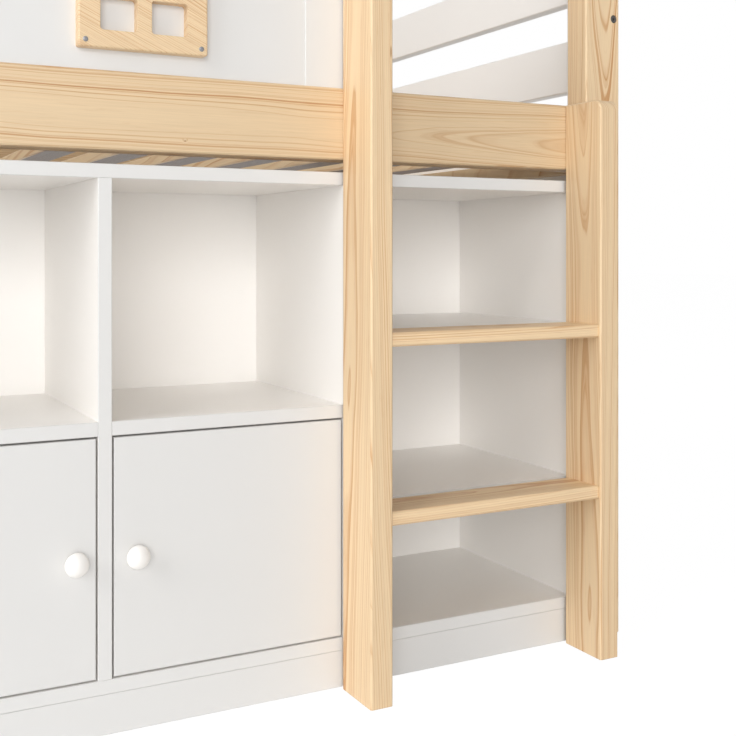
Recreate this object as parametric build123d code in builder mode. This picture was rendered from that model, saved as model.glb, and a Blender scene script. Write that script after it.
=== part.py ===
from build123d import *
import os

# Mid sleeper bed, in millimetres. X runs along the bed towards the ladder end, -Y is the front
# and Z is up. The origin is on the floor, under the middle of the whole outline.

os.makedirs("parts", exist_ok=True)

# Mattress and the frame that holds it
mattress_length = 1900
mattress_width = 900
mattress_play = 5
rail_thick = 28
rail_height = 98
rail_bottom = 727
post_width = 67
post_depth = 45
post_rise = 21
pine_bevel = 2
post_top_bevel = 2.4

# Ledgers and slats
ledger_thick = 24
ledger_height = 27
slat_width = 51
slat_thick = 18
slat_count = 16
slat_end_gap = 33
slat_play = 3
slat_bevel = 2

# White end frames and rear guard
end_thick = 22
end_stile_width = 55
guard_board_height = 84.5
guard_board_gap = 61.5
guard_foot_gap = 38.5
end_rail_height = 110
end_rail_drop = 30
foot_board_bottom = 60
paint_bevel = 1.6

# Front guard: a white panel between two upright boards, under a pine cap
cap_height = 64
guard_board_width = 88.5
guard_board_thick = 21
guard_board_bevel = 0.9
panel_thick = 18
tongue_thick = 8
tongue_depth = 8
groove_play = 0.3

# Window trims on the front guard
trim_count = 3
trim_thick = 15
trim_side_bar = 27
trim_bottom_bar = 22
trim_middle_bar = 18.5
pane_width = 47
pane_height = 41.5
trim_sill = 25.7
trim_end_space = 145.5
pane_corner = 4
trim_corner = 3
trim_front_bevel = 1.4
trim_screw_inset = 8.5
trim_screw_head = 6.5
trim_screw_proud = 1.2
trim_screw_shank = 3

# Ladder
ladder_depth = 80
ladder_width = 420
ladder_post_gap = 7.5
stile_thick = 33.5
stile_top_radius = 16
step_thick = 19
step_depth = 70
step_setback = 5
lower_step_top = 255
upper_step_top = 493
step_housing = 8
step_bevel = 2.6

# Cabinets
board_thick = 18
back_thick = 6
cabinet_depth = 304
cabinet_rail_gap = 17
cabinet_setback = 7
cabinet_side_gap = 7
back_side_gap = 0.5
plinth_height = 50
bookcase_width = 398
lower_shelf_top = 254
upper_shelf_top = 491
board_ease = 0.8

# Doors, knobs and their concealed hinges
door_gap = 2.5
door_bevel = 0.8
knob_from_edge = 27
knob_radius = 15
knob_length = 24
knob_foot_radius = 8
knob_neck_length = 8
knob_neck_radius = 6
knob_face_start = 19
knob_face_radius = 12.5
knob_waist_bands = 2
knob_rim_bands = 3
knob_face_bands = 2
cup_radius = 17.5
cup_depth = 11.5
cup_wall = 1.6
cup_from_edge = 22.5
cup_play = 0.1
flange_thick = 1
flange_height = 48
flange_inset = 2
hinge_end_space = 70
arm_gap = 0.3
arm_height = 14
arm_clear = 6
arm_plate_thick = 3
arm_plate_start = 30
arm_plate_length = 45
arm_plate_height = 30

# Bolts and barrel nuts. They repeat, so their rounds and bores have few sides.
bore_sides = 8
head_sides = 12
bolt_radius = 3
bolt_play = 0.2
bolt_head_radius = 6
bolt_head_height = 3
socket_radius = 2.4
socket_depth = 2
counterbore_play = 0.5
counterbore_depth = 3.6
bolt_reach = 34
nut_radius = 5
nut_length = 16
nut_play = 0.1
nut_from_joint = 26
low_bolt_height = 250
middle_bolt_rise = 2
top_bolt_rise = 142
guard_bolt_rise = 102
rail_bolt_inset = 25
ladder_bolt_inset = 13
ladder_bolt_pitch = 28
ladder_bolt_reach = 40

# Packers that steady the cabinets against the posts
packer_height = 60
packer_inset = 5
packer_floor_gap = 100
packer_top_gap = 32

# Planes and spans that several pieces share
half_length = mattress_length / 2 + mattress_play + end_thick
frame_depth = mattress_width + 2 * mattress_play + 2 * rail_thick
rear = (frame_depth + ladder_depth) / 2
front = rear - frame_depth
post_inner = half_length - post_width
end_inner = half_length - end_thick
rail_top = rail_bottom + rail_height
slat_bottom = rail_bottom + ledger_height
guard_top = rail_top + guard_foot_gap + 2 * guard_board_height + guard_board_gap
post_height = guard_top + post_rise
cap_bottom = guard_top - cap_height
rail_span = (-post_inner, post_inner)
rail_levels = (rail_bottom, rail_top)
front_rail_y = (front, front + rail_thick)
rear_rail_y = (rear - rail_thick, rear)
front_post_y = (front, front + post_depth)
rear_post_y = (rear - post_depth, rear)
rail_middle = front + rail_thick / 2
rear_rail_middle = rear - rail_thick / 2
end_middle = half_length - end_thick / 2

end_bolt_heights = (
    low_bolt_height,
    rail_top + middle_bolt_rise,
    rail_top + top_bolt_rise,
)
guard_bolt_height = rail_top + guard_bolt_rise

ladder_front = front - ladder_depth
step_tops = (lower_step_top, upper_step_top)
ladder_right = post_inner - ladder_post_gap
ladder_left = ladder_right - ladder_width

cabinet_front = front + cabinet_setback
cabinet_back = cabinet_front + cabinet_depth
cabinet_end = post_inner - cabinet_side_gap
cabinet_height = rail_bottom - cabinet_rail_gap
side_top = cabinet_height - board_thick
floor_board_top = plinth_height + board_thick
bookcase_left = cabinet_end - bookcase_width
cupboard_width = (2 * cabinet_end - bookcase_width) / 2
column_width = (cupboard_width - 3 * board_thick) / 2
opening_height = (side_top - floor_board_top - board_thick) / 2
door_top = floor_board_top + opening_height - door_gap
door_bottom = floor_board_top + door_gap
door_width = column_width - 2 * door_gap


def middle(span):
    """The middle of a (low, high) span."""
    return (span[0] + span[1]) / 2


def board(x, y, z, grain=Axis.X, ease=0.0):
    """A board that fills three (low, high) spans, with the edges along its grain bevelled."""
    with BuildPart() as piece:
        with BuildSketch(Plane.XY.offset(z[0])):
            with Locations((middle(x), middle(y))):
                Rectangle(x[1] - x[0], y[1] - y[0])
        extrude(amount=z[1] - z[0])
        if ease:
            chamfer(piece.edges().filter_by(grain), ease)
    return piece.part


def cabinet_board(x, y, z, grain=Axis.X):
    """A cabinet board, whose edges along its length have a small bevel."""
    return board(x, y, z, grain, board_ease)


def drill(points, outward, radius, depth, sides=bore_sides):
    """Cuts a bore into the open piece at each point, against the direction that its mouth faces."""
    for point in points:
        with BuildSketch(Plane(origin=point, z_dir=outward)) as bore:
            RegularPolygon(radius, sides)
        extrude(bore.sketch, amount=-depth, mode=Mode.SUBTRACT)


def counterbore(points, outward, depth):
    """Cuts a bolt's bore and the seat for its head into the open piece at each point."""
    seat_radius = bolt_head_radius + counterbore_play
    drill(points, outward, bolt_radius + bolt_play, depth)
    drill(points, outward, seat_radius, counterbore_depth, head_sides)


def save(piece, name):
    """Labels a finished piece and writes it to a file of its own."""
    piece.label = name
    export_step(piece, f"parts/{name}.step")


# Bolt and barrel nut, both made at the origin and placed by the pieces they join


def bolt(length):
    """A socket bolt whose head sits on the XY plane, with its shank down the -Z axis."""
    with BuildPart() as piece:
        with BuildSketch(Plane.XY):
            RegularPolygon(bolt_radius, bore_sides)
        extrude(amount=-length)
        with BuildSketch(Plane.XY):
            RegularPolygon(bolt_head_radius, head_sides)
        extrude(amount=bolt_head_height)
        with BuildSketch(Plane.XY.offset(bolt_head_height)):
            RegularPolygon(socket_radius, 6)
        extrude(amount=-socket_depth, mode=Mode.SUBTRACT)
    return piece.part


def barrel_nut():
    """A barrel nut along the X axis, with its bolt's cross bore along Z."""
    with BuildPart() as piece:
        with BuildSketch(Plane.YZ):
            RegularPolygon(nut_radius, bore_sides)
        extrude(amount=nut_length / 2, both=True)
        with BuildSketch(Plane.XY.offset(nut_radius)):
            RegularPolygon(bolt_radius + bolt_play, bore_sides)
        extrude(amount=-2 * nut_radius, mode=Mode.SUBTRACT)
    return piece.part


def end_bolt_seats(side, rear_post):
    """Where the bolts of one end frame start, on the outer face of one post."""
    y = rear if rear_post else front
    return [(side * end_middle, y, z) for z in end_bolt_heights]


def rail_bolt_levels():
    """Heights of the two bolts at each end of a rail."""
    return (rail_bottom + rail_bolt_inset, rail_top - rail_bolt_inset)


def side_bolt_seats(side, rear_post):
    """Where the bolts of the rail and of the guard start, on the end face of one post."""
    y = rear_rail_middle if rear_post else rail_middle
    levels = list(rail_bolt_levels())
    if rear_post or side < 0:
        levels.append(guard_bolt_height)
    return [(side * half_length, y, z) for z in levels]


# Posts


def post(side, rear_post):
    """One corner post, drilled for the bolts of its end frame, rail and guard."""
    x = sorted((side * post_inner, side * half_length))
    y = rear_post_y if rear_post else front_post_y
    face = (0, 1, 0) if rear_post else (0, -1, 0)
    with BuildPart() as piece:
        add(board(x, y, (0, post_height), Axis.Z, pine_bevel))
        chamfer(piece.faces().sort_by(Axis.Z)[-1].edges(), post_top_bevel)
        counterbore(end_bolt_seats(side, rear_post), face, post_depth)
        counterbore(side_bolt_seats(side, rear_post), (side, 0, 0), post_width)
    return piece.part


save(post(-1, False), "post_front_left")
save(post(1, False), "post_front_right")
save(post(-1, True), "post_rear_left")
save(post(1, True), "post_rear_right")


# Side rails, with a bolt hole and a barrel nut hole at each fixing

rail_nut_x = post_inner - nut_from_joint
rail_ends = [(side * post_inner, z) for side in (-1, 1) for z in rail_bolt_levels()]
nut_hole_depth = (end_thick + nut_length) / 2


def drill_rail(y, inner_face):
    """Drills a rail's ends for its bolts, and its inner face for their barrel nuts."""
    inward = 1 if inner_face > y else -1
    for x, z in rail_ends:
        side = 1 if x > 0 else -1
        drill([(x, y, z)], (side, 0, 0), bolt_radius + bolt_play, bolt_reach + bolt_play)
        nut_mouth = (side * rail_nut_x, inner_face, z)
        drill([nut_mouth], (0, inward, 0), nut_radius + nut_play, rail_nut_depth)


rail_nut_depth = (rail_thick + nut_length) / 2
ladder_bolt_x = (ladder_left + stile_thick / 2, ladder_right - stile_thick / 2)
ladder_bolt_z = (
    rail_top - ladder_bolt_inset,
    rail_top - ladder_bolt_inset - ladder_bolt_pitch,
)
ladder_bolt_seats = [
    (x, front + rail_thick, z) for x in ladder_bolt_x for z in ladder_bolt_z
]
cap_bolt_seat = (ladder_bolt_x[0], front + rail_thick, guard_top - cap_height / 2)

with BuildPart() as rail_front:
    add(board(rail_span, front_rail_y, rail_levels, Axis.X, pine_bevel))
    drill_rail(rail_middle, front + rail_thick)
    drill(ladder_bolt_seats, (0, 1, 0), bolt_radius + bolt_play, rail_thick)
save(rail_front.part, "rail_front")

with BuildPart() as rail_rear:
    add(board(rail_span, rear_rail_y, rail_levels, Axis.X, pine_bevel))
    drill_rail(rear_rail_middle, rear - rail_thick)
save(rail_rear.part, "rail_rear")


# Ledgers under the slats

ledger_levels = (rail_bottom, slat_bottom)
front_ledger_y = (front_rail_y[1], front_rail_y[1] + ledger_thick)
rear_ledger_y = (rear_rail_y[0] - ledger_thick, rear_rail_y[0])
end_ledger_span = (front_post_y[1], rear_post_y[0])

save(board(rail_span, front_ledger_y, ledger_levels, Axis.X), "ledger_front")
save(board(rail_span, rear_ledger_y, ledger_levels, Axis.X), "ledger_rear")

with BuildPart() as ledgers_end:
    for side in (-1, 1):
        ledger_x = sorted((side * (end_inner - ledger_thick), side * end_inner))
        add(board(ledger_x, end_ledger_span, ledger_levels, Axis.Y))
save(ledgers_end.part, "ledgers_end")


# Slats, evenly spaced between the end ledgers

last_slat = end_inner - ledger_thick - slat_end_gap - slat_width / 2
slat_pitch = 2 * last_slat / (slat_count - 1)
slat_length = frame_depth - 2 * rail_thick - 2 * slat_play
bed_middle = (front + rear) / 2

with BuildPart() as slats:
    with BuildSketch(Plane.XZ.offset(-bed_middle)):
        with GridLocations(slat_pitch, 1, slat_count, 1):
            with Locations((0, slat_bottom + slat_thick / 2)):
                Rectangle(slat_width, slat_thick)
    extrude(amount=slat_length / 2, both=True)
    chamfer(slats.edges().filter_by(Axis.Y), slat_bevel)
save(slats.part, "slats")


# White end frames: two stiles and four boards at each end

guard_levels = [
    (guard_top - guard_board_height, guard_top),
    (
        guard_top - 2 * guard_board_height - guard_board_gap,
        guard_top - guard_board_height - guard_board_gap,
    ),
]
foot_levels = (foot_board_bottom, foot_board_bottom + guard_board_height)
end_rail_levels = (
    rail_bottom - end_rail_drop,
    rail_bottom - end_rail_drop + end_rail_height,
)
end_board_y = (
    front_post_y[1] + end_stile_width,
    rear_post_y[0] - end_stile_width,
)


def end_span(side):
    """The thickness of one end frame, along X."""
    return sorted((side * end_inner, side * half_length))


def end_stiles(side):
    """The two stiles of an end frame, against the posts, drilled for bolts and barrel nuts."""
    with BuildPart() as piece:
        for post_face, inward in ((front_post_y[1], 1), (rear_post_y[0], -1)):
            y = sorted((post_face, post_face + inward * end_stile_width))
            add(board(end_span(side), y, (0, guard_top), Axis.Z, paint_bevel))
            for z in end_bolt_heights:
                bolt_mouth = (side * end_middle, post_face, z)
                drill([bolt_mouth], (0, -inward, 0), bolt_radius + bolt_play, bolt_reach)
                nut_mouth = (side * end_inner, post_face + inward * nut_from_joint, z)
                drill([nut_mouth], (-side, 0, 0), nut_radius + nut_play, nut_hole_depth)
    return piece.part


def end_boards(side, spans):
    """Boards between the stiles of an end frame, one for each (low, high) height."""
    with BuildPart() as piece:
        for levels in spans:
            add(board(end_span(side), end_board_y, levels, Axis.Y, paint_bevel))
    return piece.part


for side, end_name in ((-1, "left"), (1, "right")):
    save(end_stiles(side), f"end_stiles_{end_name}")
    save(end_boards(side, [foot_levels, end_rail_levels]), f"end_rails_{end_name}")
    save(end_boards(side, guard_levels), f"end_guard_boards_{end_name}")


# Rear guard: three stiles on the rear rail, with boards between them

rear_guard_y = (rear_rail_middle - end_thick / 2, rear_rail_middle + end_thick / 2)
rear_guard_levels = (rail_top, guard_top)

with BuildPart() as rear_guard_stiles:
    for stile_low in (
        -post_inner,
        -end_stile_width / 2,
        post_inner - end_stile_width,
    ):
        stile_x = (stile_low, stile_low + end_stile_width)
        add(board(stile_x, rear_guard_y, rear_guard_levels, Axis.Z, paint_bevel))
    for side in (-1, 1):
        joint = (side * post_inner, rear_rail_middle, guard_bolt_height)
        drill([joint], (side, 0, 0), bolt_radius + bolt_play, bolt_reach)
        nut_mouth = (side * rail_nut_x, rear_guard_y[0], guard_bolt_height)
        drill([nut_mouth], (0, -1, 0), nut_radius + nut_play, nut_hole_depth)
save(rear_guard_stiles.part, "rear_guard_stiles")

with BuildPart() as rear_guard_boards:
    for side in (-1, 1):
        inner_stile = side * end_stile_width / 2
        outer_stile = side * (post_inner - end_stile_width)
        for levels in guard_levels:
            board_x = sorted((inner_stile, outer_stile))
            add(board(board_x, rear_guard_y, levels, Axis.X, paint_bevel))
save(rear_guard_boards.part, "rear_guard_boards")


# Front guard, from the left post to the ladder

guard_right = ladder_left + stile_thick
panel_span = (-post_inner + guard_board_width, guard_right - guard_board_width)
panel_levels = (rail_top, cap_bottom)
upright_y = (rail_middle - guard_board_thick / 2, rail_middle + guard_board_thick / 2)
panel_y = (rail_middle - panel_thick / 2, rail_middle + panel_thick / 2)
tongue_y = (rail_middle - tongue_thick / 2, rail_middle + tongue_thick / 2)
groove_y = (tongue_y[0] - groove_play, tongue_y[1] + groove_play)
groove_depth = tongue_depth + groove_play
tongue_span = (panel_span[0] - tongue_depth, panel_span[1] + tongue_depth)

with BuildPart() as guard_panel:
    add(board(panel_span, panel_y, panel_levels))
    add(board(tongue_span, tongue_y, (rail_top, cap_bottom + tongue_depth)))
save(guard_panel.part, "guard_panel")

with BuildPart() as guard_uprights:
    for x in (
        (-post_inner, panel_span[0]),
        (panel_span[1], guard_right),
    ):
        add(board(x, upright_y, panel_levels, Axis.Z, guard_board_bevel))
    groove_x = (panel_span[0] - groove_depth, panel_span[1] + groove_depth)
    add(board(groove_x, groove_y, (rail_top, cap_bottom)), mode=Mode.SUBTRACT)
    drill(
        [(-post_inner, rail_middle, guard_bolt_height)],
        (-1, 0, 0),
        bolt_radius + bolt_play,
        bolt_reach,
    )
    drill(
        [(-rail_nut_x, upright_y[1], guard_bolt_height)],
        (0, 1, 0),
        nut_radius + nut_play,
        nut_hole_depth,
    )
save(guard_uprights.part, "guard_uprights")

with BuildPart() as guard_cap:
    cap_span = (-post_inner, guard_right)
    add(board(cap_span, front_rail_y, (cap_bottom, guard_top), Axis.X, pine_bevel))
    cap_groove = (cap_bottom, cap_bottom + groove_depth)
    groove_x = (tongue_span[0] - groove_play, tongue_span[1] + groove_play)
    add(board(groove_x, groove_y, cap_groove), mode=Mode.SUBTRACT)
    drill([cap_bolt_seat], (0, 1, 0), bolt_radius + bolt_play, rail_thick)
save(guard_cap.part, "guard_cap")


# Window trims: a plate with two by two panes, screwed to the panel at its corners

trim_width = 2 * trim_side_bar + 2 * pane_width + trim_middle_bar
trim_height = 2 * trim_bottom_bar + 2 * pane_height + trim_middle_bar
trim_middle_z = rail_top + trim_sill + trim_height / 2
trim_right_x = panel_span[1] - trim_end_space - trim_width / 2
trim_pitch = 2 * (trim_right_x - middle(panel_span)) / (trim_count - 1)
trim_back = panel_y[0]
trim_front = trim_back - trim_thick
screw_span = trim_width - 2 * trim_screw_inset
screw_rise = trim_height - 2 * trim_screw_inset


def trim_plane(index, y):
    """A plane that faces the front, at the middle of one trim."""
    x = middle(panel_span) + (index - (trim_count - 1) / 2) * trim_pitch
    return Plane(origin=(x, y, trim_middle_z), x_dir=(1, 0, 0), z_dir=(0, -1, 0))


def window_trim(index):
    """One window trim, with rounded panes, a softened front and four screw holes."""
    with BuildPart() as piece:
        with BuildSketch(trim_plane(index, trim_back)):
            RectangleRounded(trim_width, trim_height, trim_corner)
            with GridLocations(
                pane_width + trim_middle_bar, pane_height + trim_middle_bar, 2, 2
            ):
                RectangleRounded(pane_width, pane_height, pane_corner, mode=Mode.SUBTRACT)
        extrude(amount=trim_thick)
        front_edges = piece.faces().sort_by(Axis.Y)[0].outer_wire().edges()
        chamfer(front_edges, trim_front_bevel)
        with BuildSketch(trim_plane(index, trim_front)):
            with GridLocations(screw_span, screw_rise, 2, 2):
                RegularPolygon(trim_screw_shank / 2 + bolt_play, bore_sides)
        extrude(amount=-trim_thick, mode=Mode.SUBTRACT)
    return piece.part


for index in range(trim_count):
    save(window_trim(index), f"window_trim_{index + 1}")

with BuildPart() as trim_screw:
    with BuildSketch(Plane.XY):
        RegularPolygon(trim_screw_head / 2, head_sides)
    extrude(amount=trim_screw_proud)
    with BuildSketch(Plane.XY):
        RegularPolygon(trim_screw_shank / 2, bore_sides)
    extrude(amount=-trim_thick)

with BuildPart() as trim_screws:
    for index in range(trim_count):
        with Locations(trim_plane(index, trim_front).location):
            with GridLocations(screw_span, screw_rise, 2, 2):
                add(trim_screw.part)
save(trim_screws.part, "trim_screws")


# Ladder: two stiles on the front rail, with housed steps

step_y = (
    ladder_front + step_setback,
    ladder_front + step_setback + step_depth,
)


def ladder_stile(low, height, bolt_levels, housing_side):
    """One stile, with a rounded front corner at its top, step housings and bolt holes."""
    x = (low, low + stile_thick)
    y = (ladder_front, front)
    inner_face = x[1] if housing_side > 0 else x[0]
    housing_x = sorted((inner_face, inner_face - housing_side * step_housing))
    with BuildPart() as piece:
        add(board(x, y, (0, height)))
        top_front = piece.edges().filter_by(Axis.X).group_by(Axis.Z)[-1]
        fillet(top_front.sort_by(Axis.Y)[0], stile_top_radius)
        long_edges = piece.edges().filter_by(Axis.Z)
        chamfer(long_edges, pine_bevel)
        for top in step_tops:
            add(board(housing_x, step_y, (top - step_thick, top)), mode=Mode.SUBTRACT)
        bolts = [(middle(x), front, z) for z in bolt_levels]
        drill(bolts, (0, 1, 0), bolt_radius + bolt_play, ladder_bolt_reach)
    return piece.part


left_levels = ladder_bolt_z + (cap_bolt_seat[2],)
save(ladder_stile(ladder_left, guard_top, left_levels, 1), "ladder_stile_left")
save(
    ladder_stile(ladder_right - stile_thick, rail_top, ladder_bolt_z, -1),
    "ladder_stile_right",
)

step_span = (
    ladder_left + stile_thick - step_housing,
    ladder_right - stile_thick + step_housing,
)
for top, step_name in zip(step_tops, ("step_lower", "step_upper")):
    step = board(step_span, step_y, (top - step_thick, top), Axis.X, step_bevel)
    save(step, step_name)


# Bolts and barrel nuts, gathered by where they go

post_bolt_reach = post_depth - counterbore_depth + bolt_reach - bolt_play
side_bolt_reach = post_width - counterbore_depth + bolt_reach - bolt_play
end_bolt = bolt(post_bolt_reach)
side_bolt = bolt(side_bolt_reach)
stile_bolt = bolt(rail_thick + ladder_bolt_reach - bolt_play)
nut = barrel_nut()

with BuildPart() as frame_bolts:
    for side in (-1, 1):
        for face, y in ((-1, front + counterbore_depth), (1, rear - counterbore_depth)):
            seats = [(side * end_middle, y, z) for z in end_bolt_heights]
            with Locations(*[Plane(origin=seat, z_dir=(0, face, 0)) for seat in seats]):
                add(end_bolt)
        for x, y, z in side_bolt_seats(side, False) + side_bolt_seats(side, True):
            seat = (x - side * counterbore_depth, y, z)
            with Locations(Plane(origin=seat, z_dir=(side, 0, 0))):
                add(side_bolt)
save(frame_bolts.part, "frame_bolts")

with BuildPart() as ladder_bolts:
    seats = ladder_bolt_seats + [cap_bolt_seat]
    with Locations(*[Plane(origin=seat, z_dir=(0, 1, 0)) for seat in seats]):
        add(stile_bolt)
save(ladder_bolts.part, "ladder_bolts")

with BuildPart() as barrel_nuts:
    for side in (-1, 1):
        for post_face, inward in ((front_post_y[1], 1), (rear_post_y[0], -1)):
            for z in end_bolt_heights:
                spot = (side * end_middle, post_face + inward * nut_from_joint, z)
                with Locations(Plane(origin=spot, x_dir=(1, 0, 0), z_dir=(0, inward, 0))):
                    add(nut)
        for y, rear_post in ((rail_middle, False), (rear_rail_middle, True)):
            for seat in side_bolt_seats(side, rear_post):
                spot = (side * rail_nut_x, y, seat[2])
                with Locations(Plane(origin=spot, x_dir=(0, 1, 0), z_dir=(1, 0, 0))):
                    add(nut)
save(barrel_nuts.part, "barrel_nuts")


# Cabinets: two double cupboards and, behind the ladder, a bookcase

carcass_y = (cabinet_front, cabinet_back)
plinth_y = (cabinet_front, cabinet_front + board_thick)
back_y = (cabinet_back, cabinet_back + back_thick)
side_levels = (0, side_top)
top_levels = (side_top, cabinet_height)
floor_levels = (plinth_height, floor_board_top)
shelf_levels = (
    floor_board_top + opening_height,
    floor_board_top + opening_height + board_thick,
)
cupboard_lefts = {"left": -cabinet_end, "right": -cabinet_end + cupboard_width}


def columns(left):
    """The X spans of the two columns inside a double cupboard."""
    first = left + board_thick
    second = first + column_width + board_thick
    return [(first, first + column_width), (second, second + column_width)]


def cupboard_uprights(left):
    """Two sides that stand on the floor, and a partition that stands on the floor board."""
    right = left + cupboard_width
    first_column = columns(left)[0]
    with BuildPart() as piece:
        add(cabinet_board((left, left + board_thick), carcass_y, side_levels, Axis.Z))
        add(cabinet_board((right - board_thick, right), carcass_y, side_levels, Axis.Z))
        partition_x = (first_column[1], first_column[1] + board_thick)
        partition_levels = (floor_board_top, side_top)
        add(cabinet_board(partition_x, carcass_y, partition_levels, Axis.Z))
    return piece.part


def cupboard_shelves(left):
    """One fixed shelf in each column, above its door."""
    with BuildPart() as piece:
        for column in columns(left):
            add(cabinet_board(column, carcass_y, shelf_levels, Axis.X))
    return piece.part


for cupboard_name, left in cupboard_lefts.items():
    outside = (left, left + cupboard_width)
    inside = (left + board_thick, left + cupboard_width - board_thick)
    top_board = cabinet_board(outside, carcass_y, top_levels, Axis.X)
    floor_board = cabinet_board(inside, carcass_y, floor_levels, Axis.X)
    save(cupboard_uprights(left), f"cupboard_{cupboard_name}_uprights")
    save(cupboard_shelves(left), f"cupboard_{cupboard_name}_shelves")
    save(top_board, f"cupboard_{cupboard_name}_top")
    save(floor_board, f"cupboard_{cupboard_name}_floor")

bookcase_outside = (bookcase_left, cabinet_end)
bookcase_inside = (bookcase_left + board_thick, cabinet_end - board_thick)

with BuildPart() as bookcase_sides:
    for x in (
        (bookcase_outside[0], bookcase_inside[0]),
        (bookcase_inside[1], bookcase_outside[1]),
    ):
        add(cabinet_board(x, carcass_y, side_levels, Axis.Z))
save(bookcase_sides.part, "bookcase_sides")

bookcase_top = cabinet_board(bookcase_outside, carcass_y, top_levels, Axis.X)
bookcase_floor = cabinet_board(bookcase_inside, carcass_y, floor_levels, Axis.X)
save(bookcase_top, "bookcase_top")
save(bookcase_floor, "bookcase_floor")

with BuildPart() as bookcase_shelves:
    for top in (lower_shelf_top, upper_shelf_top):
        shelf = (top - board_thick, top)
        add(cabinet_board(bookcase_inside, carcass_y, shelf, Axis.X))
save(bookcase_shelves.part, "bookcase_shelves")

cabinet_spans = [(left, left + cupboard_width) for left in cupboard_lefts.values()]
cabinet_spans.append(bookcase_outside)

with BuildPart() as cabinet_plinths:
    for low, high in cabinet_spans:
        add(board((low + board_thick, high - board_thick), plinth_y, (0, plinth_height)))
save(cabinet_plinths.part, "cabinet_plinths")

with BuildPart() as cabinet_backs:
    for low, high in cabinet_spans:
        back_x = (low + back_side_gap, high - back_side_gap)
        add(board(back_x, back_y, (plinth_height, cabinet_height)))
save(cabinet_backs.part, "cabinet_backs")

with BuildPart() as packers:
    for side in (-1, 1):
        for level in (packer_floor_gap, side_top - packer_top_gap - packer_height):
            packer_x = sorted((side * cabinet_end, side * post_inner))
            packer_y = (cabinet_front + packer_inset, front_post_y[1] - packer_inset)
            add(board(packer_x, packer_y, (level, level + packer_height)))
save(packers.part, "packers")


# Doors, inset flush in the cupboards. The knobs of each pair are side by side.

door_back = cabinet_front + board_thick
hinge_levels = (door_bottom + hinge_end_space, door_top - hinge_end_space)


def door_columns():
    """For each door: its column, and which way its free edge points (+1 is towards +X)."""
    found = []
    for left in cupboard_lefts.values():
        first, second = columns(left)
        found.append((first, 1))
        found.append((second, -1))
    return found


def hinge_edge(column, free):
    """The X of a door's hinged edge."""
    return column[0] + door_gap if free > 0 else column[1] - door_gap


def door(column, free):
    """A door with two cup recesses in its back, near the hinged edge."""
    cup_x = hinge_edge(column, free) + free * cup_from_edge
    door_x = (column[0] + door_gap, column[1] - door_gap)
    cups = [(cup_x, door_back, z) for z in hinge_levels]
    with BuildPart() as piece:
        add(board(door_x, (cabinet_front, door_back), (door_bottom, door_top)))
        chamfer(piece.faces().sort_by(Axis.Y)[0].edges(), door_bevel)
        with Locations(*[Plane(origin=cup, z_dir=(0, 1, 0)) for cup in cups]):
            Hole(cup_radius, cup_depth)
    return piece.part


def banded(curve, bands):
    """Points along a curve, which straight bands then follow."""
    return [curve @ (step / bands) for step in range(1, bands + 1)]


def knob_profile():
    """Half of a knob's outline, as (reach, radius): its waist, its round rim and its domed face."""
    foot = (0, knob_foot_radius)
    waist_end = (knob_neck_length, knob_foot_radius)
    rim_middle = ((knob_neck_length + knob_face_start) / 2, knob_radius)
    face_start = (knob_face_start, knob_face_radius)
    face_reach = knob_length**2 - knob_face_start**2 - knob_face_radius**2
    face_centre = face_reach / (2 * (knob_length - knob_face_start))
    waist = ThreePointArc(foot, (knob_neck_length / 2, knob_neck_radius), waist_end)
    rim = ThreePointArc(waist_end, rim_middle, face_start)
    face = RadiusArc(face_start, (knob_length, 0), knob_length - face_centre)
    points = [(0, 0), foot] + banded(waist, knob_waist_bands)
    return points + banded(rim, knob_rim_bands) + banded(face, knob_face_bands)


def knob(column, free):
    """A turned knob with a waisted neck, near the free edge of its door."""
    knob_x = hinge_edge(column, free) + free * (door_width - knob_from_edge)
    seat = (knob_x, cabinet_front, (door_bottom + door_top) / 2)
    profile = knob_profile()
    with BuildPart() as piece:
        with BuildSketch(Plane(origin=seat, x_dir=(0, -1, 0), z_dir=(1, 0, 0))):
            with BuildLine():
                Polyline(*profile, close=True)
            make_face()
        revolve(axis=Axis(seat, (0, -1, 0)))
    return piece.part


def hinge_cups(column, free):
    """The two steel cups in a door's back, each with its flange and the link that it carries."""
    cup_x = hinge_edge(column, free) + free * cup_from_edge
    link_back = door_back + flange_thick
    flange_y = (door_back, link_back)
    with BuildPart() as piece:
        for z in hinge_levels:
            mouth = Plane(origin=(cup_x, door_back, z), z_dir=(0, 1, 0))
            with Locations(mouth):
                Cylinder(
                    cup_radius - cup_play,
                    cup_depth,
                    align=(Align.CENTER, Align.CENTER, Align.MAX),
                )
            flange_half = cup_radius - flange_inset
            flange_x = (cup_x - flange_half, cup_x + flange_half)
            flange_z = (z - flange_height / 2, z + flange_height / 2)
            add(board(flange_x, flange_y, flange_z))
            with Locations(Plane(origin=(cup_x, link_back, z), z_dir=(0, 1, 0))):
                hollow = cup_radius - cup_play - 2 * cup_wall
                Hole(hollow, cup_depth + flange_thick - cup_wall)
            link_x = (cup_x - arm_height / 2, cup_x + arm_height / 2)
            link_y = (door_back - cup_depth + cup_wall, link_back)
            link_z = (z - arm_height / 2, z + arm_height / 2)
            add(board(link_x, link_y, link_z))
    return piece.part


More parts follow.
